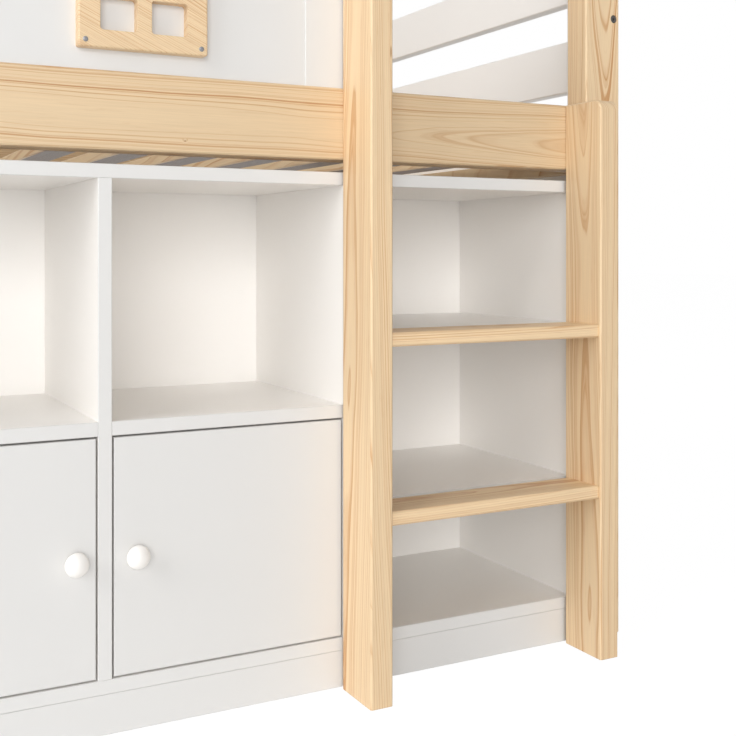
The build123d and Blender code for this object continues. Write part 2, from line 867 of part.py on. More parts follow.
def hinge_arms(column, free):
    """The two cranked arms of a door's hinges, on the upright beside its hinged edge."""
    wall = hinge_edge(column, free) - free * door_gap
    cup_x = hinge_edge(column, free) + free * cup_from_edge
    tip = door_back + flange_thick + arm_gap
    arm_near = door_back + arm_clear
    arm_far = arm_near + arm_plate_thick
    link_half = arm_height / 2
    plate_end = cabinet_front + arm_plate_start + arm_plate_length
    with BuildPart() as piece:
        for z in hinge_levels:
            with BuildSketch(Plane.XY.offset(z)):
                with BuildLine():
                    Polyline(
                        (cup_x - free * link_half, tip),
                        (cup_x + free * link_half, tip),
                        (cup_x + free * link_half, arm_far),
                        (wall + free * 2 * arm_plate_thick, arm_far),
                        (wall + free * 2 * arm_plate_thick, plate_end),
                        (wall + free * arm_plate_thick, plate_end),
                        (wall + free * arm_plate_thick, arm_near),
                        (cup_x - free * link_half, arm_near),
                        close=True,
                    )
                make_face()
            extrude(amount=link_half, both=True)
            plate_x = sorted((wall, wall + free * arm_plate_thick))
            plate_y = (cabinet_front + arm_plate_start, plate_end - arm_plate_thick)
            plate_z = (z - arm_plate_height / 2, z + arm_plate_height / 2)
            add(board(plate_x, plate_y, plate_z))
    return piece.part


for number, (column, free) in enumerate(door_columns(), start=1):
    save(door(column, free), f"door_{number}")
    save(knob(column, free), f"knob_{number}")
    save(hinge_cups(column, free), f"hinge_cups_{number}")

with BuildPart() as arms:
    for column, free in door_columns():
        add(hinge_arms(column, free))
save(arms.part, "hinge_arms")
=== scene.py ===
"""Dresses the mid sleeper bed: pine, white lacquer, knobs, bolts, hinges and a pale studio."""

import math

import bmesh
import bpy
from mathutils import Matrix, Vector


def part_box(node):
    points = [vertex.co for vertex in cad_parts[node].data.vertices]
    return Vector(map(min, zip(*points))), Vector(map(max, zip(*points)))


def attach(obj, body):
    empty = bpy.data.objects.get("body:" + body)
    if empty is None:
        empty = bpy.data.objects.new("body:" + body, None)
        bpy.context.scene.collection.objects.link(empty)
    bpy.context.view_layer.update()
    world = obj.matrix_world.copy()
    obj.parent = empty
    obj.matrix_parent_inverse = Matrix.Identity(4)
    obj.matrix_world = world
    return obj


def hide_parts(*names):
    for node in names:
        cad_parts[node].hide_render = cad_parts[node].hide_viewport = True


bl_info = {
    "name": "Mid sleeper bed",
    "version": (1, 0, 0),
    "blender": (4, 5, 0),
    "location": "View3D > Sidebar > Bed",
    "description": "Finishes the pieces of a mid sleeper bed with ladder and cabinets",
    "category": "Object",
}

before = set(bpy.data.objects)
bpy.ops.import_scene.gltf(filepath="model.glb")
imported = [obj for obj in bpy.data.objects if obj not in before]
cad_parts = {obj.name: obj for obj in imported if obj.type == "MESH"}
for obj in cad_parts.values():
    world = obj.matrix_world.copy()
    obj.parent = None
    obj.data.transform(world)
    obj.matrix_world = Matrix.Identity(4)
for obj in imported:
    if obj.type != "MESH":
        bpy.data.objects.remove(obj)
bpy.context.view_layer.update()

DOORS = (1, 2, 3, 4)
WELD = 1e-6
# Depth of the front edge strip that keeps the doors' white, where the painted-light board white
# stops
FRONT_EDGE_THICK = 0.0010

# Depth of a surface's fine relief, and radius of its eased edges, in metres
PINE_RELIEF, PINE_EDGE = 0.00012, 0.0014
PAINT_RELIEF, PAINT_EDGE = 0.00005, 0.0010
METAL_RELIEF, METAL_EDGE = 0.00003, 0.0003

# Angle over which a turned piece keeps a sharp edge
SHARP_ANGLE = math.radians(32)
KNOB_SHARP_ANGLE = math.radians(50)

# Lamps, in metres, all aimed at the middle of the front
LAMP_AIM = (0.2, -0.3, 0.5)
KEY_SPOT, KEY_SIZE = (-6.6, -2.3, 4.3), 4.8
FRONT_SPOT, FRONT_SIZE = (-2.5, -7.2, 1.5), 5.0

# Camera: place in metres, turn in degrees, and how far the picture is shifted on the sensor
CAMERA_SPOT = (-0.2027, -1.741, 0.600)
CAMERA_TURN = (90, 0, -26.565)
CAMERA_SHIFT = (0.0666, -0.1576)
SENSOR_WIDTH = 36
CLIP_START = 0.02

# Floor: a wide disc, a hair under the feet
FLOOR_RADIUS = 30
FLOOR_SIDES = 96
FLOOR_DROP = 0.0005
FLOOR_WHITE = 1.06


def colour(red, green, blue):
    """A display colour, 0 to 255, as the linear values that shaders and lamps take."""
    shares = (red / 255, green / 255, blue / 255)
    return tuple(s / 12.92 if s <= 0.04045 else ((s + 0.055) / 1.055) ** 2.4 for s in shares)


# Settings that a user would change


class PineSettings(bpy.types.PropertyGroup):
    """Colours and growth rings of the clear-lacquered pine."""

    pale: bpy.props.FloatVectorProperty(
        name="Early wood", description="Pale wood between the growth lines",
        subtype="COLOR", size=3, min=0, max=1, default=colour(236, 209, 170),
    )
    line: bpy.props.FloatVectorProperty(
        name="Late wood", description="Orange-brown growth lines",
        subtype="COLOR", size=3, min=0, max=1, default=colour(194, 137, 80),
    )
    knot: bpy.props.FloatVectorProperty(
        name="Knot", description="Heart of a small knot",
        subtype="COLOR", size=3, min=0, max=1, default=colour(150, 96, 55),
    )
    # Painted shade: the slats' undersides get this darker brown in place of the shade that falls
    # under them.
    shaded: bpy.props.FloatVectorProperty(
        name="Sawn side", description="Underside of the slats, sawn and left without lacquer",
        subtype="COLOR", size=3, min=0, max=1, default=colour(96, 76, 62),
    )
    ring_width: bpy.props.FloatProperty(
        name="Ring width", description="Width of a year's growth",
        default=0.0027, min=0.001, max=0.02, subtype="DISTANCE", unit="LENGTH",
    )
    wander: bpy.props.FloatProperty(
        name="Wander", description="How far the growth lines wander along a board",
        default=0.020, min=0, max=0.1, subtype="DISTANCE", unit="LENGTH",
    )
    roughness: bpy.props.FloatProperty(
        name="Roughness", description="Dullness of the clear lacquer",
        default=0.46, min=0, max=1, subtype="FACTOR",
    )


class LacquerSettings(bpy.types.PropertyGroup):
    """Colour and surface of the white lacquer."""

    white: bpy.props.FloatVectorProperty(
        name="White", description="White lacquer on boards and frames",
        subtype="COLOR", size=3, min=0, max=1, default=colour(226, 225, 223),
    )
    # Painted light: a brighter copy of the white lacquer for boards, backs and end frames, which
    # lifts faces that the lamps reach less.
    board: bpy.props.FloatVectorProperty(
        name="Board white", description="Brighter white of cabinet boards and end frames",
        subtype="COLOR", size=3, min=0, max=1, default=colour(252, 249, 245),
    )
    roughness: bpy.props.FloatProperty(
        name="Roughness", description="Dullness of the white lacquer",
        default=0.38, min=0, max=1, subtype="FACTOR",
    )
    peel: bpy.props.FloatProperty(
        name="Orange peel", description="Size of the lacquer's fine ripples",
        default=0.0035, min=0.0005, max=0.02, subtype="DISTANCE", unit="LENGTH",
    )


class KnobSettings(bpy.types.PropertyGroup):
    """Sizes of a turned knob, along its axis and across it."""

    foot_radius: bpy.props.FloatProperty(
        name="Foot radius", description="Radius where the knob meets its door",
        default=0.008, min=0.002, max=0.03, subtype="DISTANCE", unit="LENGTH",
    )
    neck_radius: bpy.props.FloatProperty(
        name="Neck radius", description="Radius of the waist behind the head",
        default=0.006, min=0.002, max=0.03, subtype="DISTANCE", unit="LENGTH",
    )
    neck_length: bpy.props.FloatProperty(
        name="Neck length", description="From the door to the back of the head",
        default=0.008, min=0.002, max=0.03, subtype="DISTANCE", unit="LENGTH",
    )
    face_start: bpy.props.FloatProperty(
        name="Face start", description="From the door to where the domed face starts",
        default=0.019, min=0.005, max=0.05, subtype="DISTANCE", unit="LENGTH",
    )
    face_radius: bpy.props.FloatProperty(
        name="Face radius", description="Radius of the domed face",
        default=0.0125, min=0.002, max=0.03, subtype="DISTANCE", unit="LENGTH",
    )
    sides: bpy.props.IntProperty(
        name="Sides", description="Faces round the knob", default=72, min=12, max=256,
    )


class FastenerSettings(bpy.types.PropertyGroup):
    """Sizes of the socket bolts and of the trim screws."""

    bolt_head: bpy.props.FloatProperty(
        name="Bolt head radius", description="Radius of a bolt's round head",
        default=0.006, min=0.002, max=0.02, subtype="DISTANCE", unit="LENGTH",
    )
    bolt_head_height: bpy.props.FloatProperty(
        name="Bolt head height", description="Height of a bolt's head",
        default=0.003, min=0.0005, max=0.02, subtype="DISTANCE", unit="LENGTH",
    )
    socket: bpy.props.FloatProperty(
        name="Socket radius", description="Radius of a bolt's hexagon socket",
        default=0.0024, min=0.001, max=0.01, subtype="DISTANCE", unit="LENGTH",
    )
    shank: bpy.props.FloatProperty(
        name="Shank radius", description="Radius of a bolt's shank",
        default=0.003, min=0.001, max=0.01, subtype="DISTANCE", unit="LENGTH",
    )
    screw_head: bpy.props.FloatProperty(
        name="Screw head radius", description="Radius of a trim screw's head",
        default=0.00325, min=0.001, max=0.01, subtype="DISTANCE", unit="LENGTH",
    )
    screw_shank: bpy.props.FloatProperty(
        name="Screw shank radius", description="Radius of a trim screw's shank",
        default=0.0015, min=0.0005, max=0.01, subtype="DISTANCE", unit="LENGTH",
    )
    screw_proud: bpy.props.FloatProperty(
        name="Screw head height", description="Height of a trim screw's head",
        default=0.0012, min=0.0002, max=0.01, subtype="DISTANCE", unit="LENGTH",
    )
    sides: bpy.props.IntProperty(
        name="Sides", description="Faces round a bolt or screw", default=36, min=12, max=128,
    )


class StudioSettings(bpy.types.PropertyGroup):
    """Light, floor and camera."""

    fill: bpy.props.FloatProperty(
        name="Fill", description="Strength of the even light from all round",
        default=0.22, min=0, max=2,
    )
    key_power: bpy.props.FloatProperty(
        name="Key lamp", description="Power of the large soft lamp at the front left",
        default=335, min=0, max=2000, unit="POWER",
    )
    front_power: bpy.props.FloatProperty(
        name="Front lamp", description="Power of the lamp that reaches into the cabinets",
        default=405, min=0, max=2000, unit="POWER",
    )
    floor_glow: bpy.props.FloatProperty(
        name="Floor glow", description="Share of the floor's white that no shadow darkens",
        default=0.92, min=0, max=1, subtype="FACTOR",
    )
    lens: bpy.props.FloatProperty(
        name="Lens", description="Focal length of the camera",
        default=52.24, min=10, max=300, unit="CAMERA",
    )


# Small tools for shader nodes


def add_node(tree, kind, **settings):
    """Adds a shader node and sets its options."""
    made = tree.nodes.new(kind)
    for name, value in settings.items():
        setattr(made, name, value)
    return made


def feed(tree, socket, value):
    """Gives a socket its value, or links it to another node's socket."""
    if isinstance(value, bpy.types.NodeSocket):
        tree.links.new(value, socket)
    else:
        socket.default_value = value


def sum_of(tree, operation, first, second=0.0, third=None):
    """One step of arithmetic on numbers."""
    made = add_node(tree, "ShaderNodeMath", operation=operation)
    feed(tree, made.inputs[0], first)
    feed(tree, made.inputs[1], second)
    if third is not None:
        feed(tree, made.inputs[2], third)
    return made.outputs[0]


def vector_sum(tree, operation, first, second=(0, 0, 0)):
    """One step of arithmetic on vectors."""
    made = add_node(tree, "ShaderNodeVectorMath", operation=operation)
    feed(tree, made.inputs[0], first)
    feed(tree, made.inputs[1], second)
    return made.outputs[1] if operation in ("LENGTH", "DISTANCE") else made.outputs[0]


def noise(tree, vector, stretch, detail=2.0):
    """Smooth noise on a vector that is first stretched. Gives its value and its colour."""
    made = add_node(tree, "ShaderNodeTexNoise")
    feed(tree, made.inputs["Vector"], vector_sum(tree, "MULTIPLY", vector, stretch))
    made.inputs["Scale"].default_value = 1
    made.inputs["Detail"].default_value = detail
    return made.outputs[0], made.outputs[1]


def ramp(tree, value, stops):
    """A grey ramp through (position, brightness) stops."""
    made = add_node(tree, "ShaderNodeValToRGB")
    elements = made.color_ramp.elements
    while len(elements) < len(stops):
        elements.new(0.5)
    for element, (position, brightness) in zip(elements, stops):
        element.position = position
        element.color = (brightness, brightness, brightness, 1)
    feed(tree, made.inputs[0], value)
    return made.outputs[0]


def spread(tree, value, low, high, from_low=0.0, from_high=1.0):
    """A value moved from one range to another, smoothly and within its ends."""
    made = add_node(tree, "ShaderNodeMapRange", interpolation_type="SMOOTHSTEP")
    feed(tree, made.inputs["Value"], value)
    made.inputs["From Min"].default_value = from_low
    made.inputs["From Max"].default_value = from_high
    made.inputs["To Min"].default_value = low
    made.inputs["To Max"].default_value = high
    return made.outputs[0]


def mixed(tree, share, first, second, blend="MIX"):
    """Two colours mixed by a share."""
    made = add_node(tree, "ShaderNodeMix", data_type="RGBA", blend_type=blend)
    feed(tree, made.inputs[0], share)
    feed(tree, made.inputs[6], first)
    feed(tree, made.inputs[7], second)
    return made.outputs[2]


def full(value):
    """A colour property with the alpha that a shader socket takes."""
    return (*value, 1)


def new_finish(name):
    """An empty material with one shader. Gives the material, its node tree and the shader."""
    made = bpy.data.materials.new(name)
    made.use_nodes = True
    return made, made.node_tree, made.node_tree.nodes["Principled BSDF"]


def place(tree):
    """The place of a surface point on the bed, in metres."""
    return add_node(tree, "ShaderNodeTexCoord").outputs["Object"]


def soft_surface(tree, shader, height, depth, edge):
    """Fine relief over edges that look slightly rounded."""
    rounded = add_node(tree, "ShaderNodeBevel", samples=4)
    rounded.inputs["Radius"].default_value = edge
    relief = add_node(tree, "ShaderNodeBump")
    relief.inputs["Distance"].default_value = depth
    feed(tree, relief.inputs["Height"], height)
    feed(tree, relief.inputs["Normal"], rounded.outputs[0])
    feed(tree, shader.inputs["Normal"], relief.outputs[0])


# Pine: growth rings round a pith, seen wherever a board's face cuts them

GRAIN_ORDER = {"X": ("Y", "Z", "X"), "Y": ("X", "Z", "Y"), "Z": ("X", "Y", "Z")}

# How closely each noise is packed, per metre: across the grain, through it, and along it
SWEEP = (6, 6, 1.3)
RIPPLE = (38, 38, 7)
FIBRE = (620, 620, 11)
FLECK = (330, 330, 26)
TONE = (11, 11, 1.1)
# Faint streaks in the painted shade under the slats
UNDERSIDE_STREAKS = (900, 60, 60)
RIPPLE_REACH = 0.0016

# A year's growth: how unevenly years follow, and how dark one is from its first wood to its last
YEAR_DRIFT = 1.5
YEAR_DRIFT_RATE = 0.31
YEAR_STOPS = [(0, 0.12), (0.10, 0.02), (0.52, 0.10), (0.76, 0.50), (0.90, 1.0), (0.97, 0.35)]
FAINTEST_YEAR = 0.62
LINE_DULLNESS = 0.08
FLECK_SHARE = 0.10

# A knot, in shares of its radius: how far it pushes the lines aside, over what reach, and its heart
KNOT_PUSH = 1.6
KNOT_REACH = (0.2, 3.6)
KNOT_HEART = 0.45
KNOT_SHARE = 0.8

# Small knots in the rails' outer faces: x, z, radius, stretch along the grain
RAIL_KNOTS = (
    (0.255, 0.742, 0.0011, 1.5), (-0.06, 0.757, 0.0016, 1.6), (-0.47, 0.781, 0.0026, 1.6),
)
# Thin slit of resin in the left ladder stile: x, y, z, radius, stretch along the grain
RESIN_SLIT = (0.5125, -0.523, 0.864, 0.0012, 9.0)

# How far the figure moves on from one slat to the next, along the grain and through it
NEXT_ALONG = 0.73
NEXT_DEEP = 0.0137
FACES_DOWN = -0.9


def pine_figure():
    """The node group that draws pine. Its vector is (across, deep, along) from the pith."""
    wood = bpy.context.scene.bed_pine
    tree = bpy.data.node_groups.new("pine_figure", "ShaderNodeTree")
    tree.interface.new_socket("Vector", in_out="INPUT", socket_type="NodeSocketVector")
    tree.interface.new_socket("Color", in_out="OUTPUT", socket_type="NodeSocketColor")
    tree.interface.new_socket("Roughness", in_out="OUTPUT", socket_type="NodeSocketFloat")
    tree.interface.new_socket("Height", in_out="OUTPUT", socket_type="NodeSocketFloat")
    local = add_node(tree, "NodeGroupInput").outputs[0]
    result = add_node(tree, "NodeGroupOutput")

    centred = vector_sum(tree, "SUBTRACT", noise(tree, local, SWEEP)[1], (0.5, 0.5, 0.5))
    reach = (wood.wander, wood.wander, 0)
    swept = vector_sum(tree, "ADD", local, vector_sum(tree, "MULTIPLY", centred, reach))
    ripple = vector_sum(tree, "SUBTRACT", noise(tree, local, RIPPLE)[1], (0.5, 0.5, 0.5))
    ripple = vector_sum(tree, "MULTIPLY", ripple, (RIPPLE_REACH, RIPPLE_REACH, 0))
    swept = vector_sum(tree, "ADD", swept, ripple)
    across = vector_sum(tree, "MULTIPLY", swept, (1, 1, 0))
    years = sum_of(tree, "DIVIDE", vector_sum(tree, "LENGTH", across), wood.ring_width)
    uneven = add_node(tree, "ShaderNodeTexNoise", noise_dimensions="1D")
    feed(tree, uneven.inputs["W"], sum_of(tree, "MULTIPLY", years, YEAR_DRIFT_RATE))
    drift = sum_of(tree, "MULTIPLY", uneven.outputs[0], YEAR_DRIFT)
    years = sum_of(tree, "ADD", years, drift)

    year = sum_of(tree, "FRACT", years)
    line = ramp(tree, year, YEAR_STOPS)
    number = sum_of(tree, "FLOOR", years)
    strength = add_node(tree, "ShaderNodeTexWhiteNoise", noise_dimensions="1D")
    feed(tree, strength.inputs["W"], number)
    line = sum_of(tree, "MULTIPLY", line, spread(tree, strength.outputs[0], FAINTEST_YEAR, 1.0))
    fibre = noise(tree, local, FIBRE, 3)[0]
    fleck = spread(tree, noise(tree, local, FLECK, 2)[0], 0, 1, 0.60, 0.74)
    tone = noise(tree, local, TONE, 3)[0]

    share = sum_of(tree, "MULTIPLY", line, spread(tree, tone, 0.55, 1.0, 0.3, 0.7))
    share = sum_of(tree, "ADD", share, sum_of(tree, "MULTIPLY", fleck, FLECK_SHARE))
    wooden = mixed(tree, share, full(wood.pale), full(wood.line))
    shade = sum_of(tree, "ADD", spread(tree, fibre, 0.955, 1.025, 0.25, 0.75),
                   spread(tree, tone, -0.035, 0.02, 0.3, 0.7))
    grey = add_node(tree, "ShaderNodeCombineColor")
    for channel in grey.inputs:
        feed(tree, channel, shade)
    wooden = mixed(tree, 1.0, wooden, grey.outputs[0], "MULTIPLY")
    feed(tree, result.inputs["Color"], wooden)
    dull = sum_of(tree, "ADD", sum_of(tree, "MULTIPLY", line, LINE_DULLNESS), wood.roughness)
    feed(tree, result.inputs["Roughness"], dull)
    ridges = sum_of(tree, "MULTIPLY", line, 0.5)
    raised = sum_of(tree, "ADD", ridges, sum_of(tree, "MULTIPLY", fibre, 0.6))
    feed(tree, result.inputs["Height"], raised)
    return tree


def pine(name, grain, pith, tilt=(0.0, 0.0), knots=(), repeat=None, tone=1.0):
    """Pine whose pith runs through a point, tilted along the grain.

    A knot is (x, y, z, radius, stretch along the grain): a long thin one is a resin slit.
    A repeat is (axis, first, pitch): boards along that axis then differ from one another.
    The tone makes the whole board a little darker or lighter than its neighbours.
    """
    wood = bpy.context.scene.bed_pine
    figure = bpy.data.node_groups.get("pine_figure") or pine_figure()
    made, tree, shader = new_finish(name)
    spot = place(tree)
    split = add_node(tree, "ShaderNodeSeparateXYZ")
    feed(tree, split.inputs[0], vector_sum(tree, "SUBTRACT", spot, tuple(pith)))
    first, second, along = (split.outputs[axis] for axis in GRAIN_ORDER[grain])
    first = sum_of(tree, "MULTIPLY_ADD", along, tilt[0], first)
    second = sum_of(tree, "MULTIPLY_ADD", along, tilt[1], second)
    if repeat:
        axis, start, pitch = repeat
        source = add_node(tree, "ShaderNodeSeparateXYZ")
        feed(tree, source.inputs[0], spot)
        shifted = sum_of(tree, "SUBTRACT", source.outputs[axis], start)
        count = sum_of(tree, "FLOOR", sum_of(tree, "DIVIDE", shifted, pitch))
        along = sum_of(tree, "MULTIPLY_ADD", count, NEXT_ALONG, along)
        second = sum_of(tree, "MULTIPLY_ADD", count, NEXT_DEEP, second)
    hearts = []
    for x, y, z, radius, stretch in knots:
        gap = vector_sum(tree, "SUBTRACT", spot, (x, y, z))
        squeeze = [1.0, 1.0, 1.0]
        squeeze["XYZ".index(grain)] = 1 / stretch
        far = vector_sum(tree, "LENGTH", vector_sum(tree, "MULTIPLY", gap, tuple(squeeze)))
        near, wide = (radius * share for share in KNOT_REACH)
        swell = spread(tree, far, radius * KNOT_PUSH, 0.0, near, wide)
        first = sum_of(tree, "ADD", first, swell)
        hearts.append(spread(tree, far, 1.0, 0.0, radius * KNOT_HEART, radius))
    joined = add_node(tree, "ShaderNodeCombineXYZ")
    for socket, value in zip(joined.inputs, (first, second, along)):
        feed(tree, socket, value)
    drawn = add_node(tree, "ShaderNodeGroup", node_tree=figure)
    feed(tree, drawn.inputs[0], joined.outputs[0])
    wooden = mixed(tree, 1.0, drawn.outputs["Color"], (tone, tone, tone, 1), "MULTIPLY")
    for heart in hearts:
        dark = sum_of(tree, "MULTIPLY", heart, KNOT_SHARE)
        wooden = mixed(tree, dark, wooden, full(wood.knot))
    feed(tree, shader.inputs["Base Color"], wooden)
    feed(tree, shader.inputs["Roughness"], drawn.outputs["Roughness"])
    soft_surface(tree, shader, drawn.outputs["Height"], PINE_RELIEF, PINE_EDGE)
    return made


def painted_underside_shade(material, tint):
    """Paints shade on the faces that look down: a darker brown with faint streaks, standing in for
    the shade under the slats.
    """
    tree = material.node_tree
    shader = tree.nodes["Principled BSDF"]
    facing = add_node(tree, "ShaderNodeSeparateXYZ")
    feed(tree, facing.inputs[0], add_node(tree, "ShaderNodeNewGeometry").outputs["Normal"])
    # The painted shade covers only the faces that look down, streaked a little.
    under = sum_of(tree, "LESS_THAN", facing.outputs["Z"], FACES_DOWN)
    shade_streaks = noise(tree, place(tree), UNDERSIDE_STREAKS, 2)[0]
    share = sum_of(tree, "MULTIPLY", under, spread(tree, shade_streaks, 0.86, 0.98, 0.3, 0.7))
    wooden = shader.inputs["Base Color"].links[0].from_socket
    feed(tree, shader.inputs["Base Color"], mixed(tree, share, wooden, full(tint)))


def lacquer(name, tint, grain=None, front_edge_y=None):
    """White lacquer with fine orange peel and, over solid wood, a trace of its grain.

    The front edge's Y: a thin strip there keeps the doors' white, while the rest of the board shows
    the tint, which for the cabinet boards is the brighter painted-light white.
    """
    paint = bpy.context.scene.bed_lacquer
    made, tree, shader = new_finish(name)
    spot = place(tree)
    broad = noise(tree, spot, (3.1, 3.1, 3.1), 2)[0]
    fine = noise(tree, spot, (1 / paint.peel,) * 3, 2)[0]
    dimmer = full(tuple(part * 0.975 for part in tint))
    coat = mixed(tree, broad, full(tint), dimmer)
    # A thin strip at the front edge keeps the doors' white; beyond it the tint stays, painted light
    # where it is the board white.
    if front_edge_y is not None:
        depth = add_node(tree, "ShaderNodeSeparateXYZ")
        feed(tree, depth.inputs[0], spot)
        strip = sum_of(tree, "LESS_THAN", depth.outputs["Y"], front_edge_y + FRONT_EDGE_THICK)
        coat = mixed(tree, strip, coat, full(paint.white))
    feed(tree, shader.inputs["Base Color"], coat)
    rough = sum_of(tree, "ADD", spread(tree, broad, -0.03, 0.05, 0.3, 0.7), paint.roughness)
    feed(tree, shader.inputs["Roughness"], rough)
    height = sum_of(tree, "MULTIPLY", fine, 0.5)
    if grain:
        stretch = [260.0, 260.0, 260.0]
        stretch["XYZ".index(grain)] = 5.0
        height = sum_of(tree, "ADD", height, noise(tree, spot, tuple(stretch), 2)[0])
    soft_surface(tree, shader, height, PAINT_RELIEF, PAINT_EDGE)
    return made


def metal(name, tint, roughness, brushed=(1, 1, 1)):
    """Plated or blackened steel with faint streaks and spots of duller plating."""
    made, tree, shader = new_finish(name)
    spot = place(tree)
    streak = noise(tree, spot, tuple(900 * part for part in brushed), 2)[0]
    patch = noise(tree, spot, (160, 160, 160), 2)[0]
    dull = full(tuple(0.72 * part for part in tint))
    worn = spread(tree, patch, 0, 0.7, 0.4, 0.7)
    feed(tree, shader.inputs["Base Color"], mixed(tree, worn, full(tint), dull))
    shader.inputs["Metallic"].default_value = 1
    rough = sum_of(tree, "ADD", spread(tree, streak, -0.05, 0.09, 0.3, 0.7), roughness)
    feed(tree, shader.inputs["Roughness"], rough)
    soft_surface(tree, shader, streak, METAL_RELIEF, METAL_EDGE)
    return made


def finish_node(node, material):
    """Gives a CAD node its material."""
    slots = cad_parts[node].data.materials
    slots.clear()
    slots.append(material)


def centre(node):
    """The middle of a CAD node, at rest."""
    low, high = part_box(node)
    return (low + high) / 2


# Turned pieces and fasteners


def arc(start, through, end, steps):
    """Points of a round arc from start to end, without its first point."""
    (ax, ay), (bx, by), (cx, cy) = start, through, end
    twice = 2 * (ax * (by - cy) + bx * (cy - ay) + cx * (ay - by))
    a, b, c = ax * ax + ay * ay, bx * bx + by * by, cx * cx + cy * cy
    mx = (a * (by - cy) + b * (cy - ay) + c * (ay - by)) / twice
    my = (a * (cx - bx) + b * (ax - cx) + c * (bx - ax)) / twice
    radius = math.hypot(ax - mx, ay - my)
    first, middle, last = (math.atan2(y - my, x - mx) for x, y in (start, through, end))
    turn = (last - first) % math.tau
    if (middle - first) % math.tau > turn:
        turn -= math.tau
    angles = [first + turn * step / steps for step in range(1, steps + 1)]
    return [(mx + radius * math.cos(angle), my + radius * math.sin(angle)) for angle in angles]


def turned(shape, profile, matrix, sides):
    """Adds a turned solid to a mesh, from a profile of (reach along +Z, radius) points."""
    rings = []
    for reach, radius in profile:
        count = 1 if radius <= 0 else sides
        ring = []
        for index in range(count):
            angle = math.tau * index / sides
            point = Vector((radius * math.cos(angle), radius * math.sin(angle), reach))
            ring.append(shape.verts.new(matrix @ point))
        rings.append(ring)
    for low, high in zip(rings, rings[1:]):
        for index in range(sides):
            after = (index + 1) % sides
            corners = []
            for ring, step in ((low, index), (low, after), (high, after), (high, index)):
                corner = ring[step % len(ring)]
                if corner not in corners:
                    corners.append(corner)
            shape.faces.new(corners)


def to_object(shape, name, material, smooth_angle=SHARP_ANGLE):
    """Turns a finished mesh into an object with its material and smooth round faces."""
    bmesh.ops.recalc_face_normals(shape, faces=shape.faces)
    mesh = bpy.data.meshes.new(name)
    shape.to_mesh(mesh)
    shape.free()
    mesh.materials.append(material)
    mesh.shade_smooth()
    mesh.set_sharp_from_angle(angle=smooth_angle)
    made = bpy.data.objects.new(name, mesh)
    bpy.context.scene.collection.objects.link(made)
    return made


def solids(node):
    """The points of each separate solid in a CAD node."""
    shape = bmesh.new()
    shape.from_mesh(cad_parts[node].data)
    bmesh.ops.remove_doubles(shape, verts=shape.verts, dist=WELD)
    waiting = set(shape.verts)
    found = []
    while waiting:
        start = min(waiting, key=lambda vert: vert.index)
        waiting.discard(start)
        group, edge_of = [], [start]
        while edge_of:
            vert = edge_of.pop()
            group.append(vert.co.copy())
            for edge in vert.link_edges:
                other = edge.other_vert(vert)
                if other in waiting:
                    waiting.discard(other)
                    edge_of.append(other)
        found.append(group)
    shape.free()
    return found


def seats(node):
    """For each bolt or screw in a node: a matrix at its head's tip, +Z outwards, and its length."""
    places = []
    for points in solids(node):
        low = Vector([min(point[axis] for point in points) for axis in range(3)])
        high = Vector([max(point[axis] for point in points) for axis in range(3)])
        size = high - low
        axis = max(range(3), key=lambda number: size[number])
        middle = (low + high) / 2

        def widest(end):
            """How far the points near one end stand from the axis."""
            widths = []
            for point in points:
                if abs(point[axis] - end) < size[axis] * 0.01:
                    aside = point - middle
                    aside[axis] = 0
                    widths.append(aside.length)
            return max(widths)

        outward = Vector([0.0, 0.0, 0.0])
        head_high = widest(high[axis]) > widest(low[axis])
        outward[axis] = 1 if head_high else -1
        tip = middle.copy()
        tip[axis] = high[axis] if head_high else low[axis]
        turn = outward.to_track_quat("Z", "Y").to_matrix().to_4x4()
        places.append((Matrix.Translation(tip) @ turn, size[axis]))
    return places


def socket_bolts(name, node, material):
    """Round bolts with a bevelled head and hexagon socket, in place of a node's plain ones."""
    sizes = bpy.context.scene.bed_fasteners
    bevel = sizes.bolt_head * 0.11
    floor = -sizes.socket * 0.85
    shape = bmesh.new()
    for matrix, length in seats(node):
        profile = [
            (floor, 0), (floor, sizes.socket), (-bevel / 2, sizes.socket),
            (0, sizes.socket + bevel / 2), (0, sizes.bolt_head - bevel),
            (-bevel, sizes.bolt_head), (-sizes.bolt_head_height, sizes.bolt_head),
            (-sizes.bolt_head_height, sizes.shank), (bevel - length, sizes.shank),
            (-length, sizes.shank - bevel), (-length, 0),
        ]
        first = len(shape.verts)
        turned(shape, profile, matrix, sizes.sides)
        shape.verts.ensure_lookup_table()
        inverse = matrix.inverted()
        # The two rings after the floor's middle point are the socket's: they become hexagons
        for vert in shape.verts[first + 1:first + 1 + 2 * sizes.sides]:
            local = inverse @ vert.co
            angle = math.atan2(local.y, local.x) % (math.pi / 3) - math.pi / 6
            flat = math.cos(math.pi / 6) / math.cos(angle)
            vert.co = matrix @ Vector((local.x * flat, local.y * flat, local.z))
    made = to_object(shape, name, material)
    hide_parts(node)
    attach(made, "bed")


# One operator for each group of like pieces


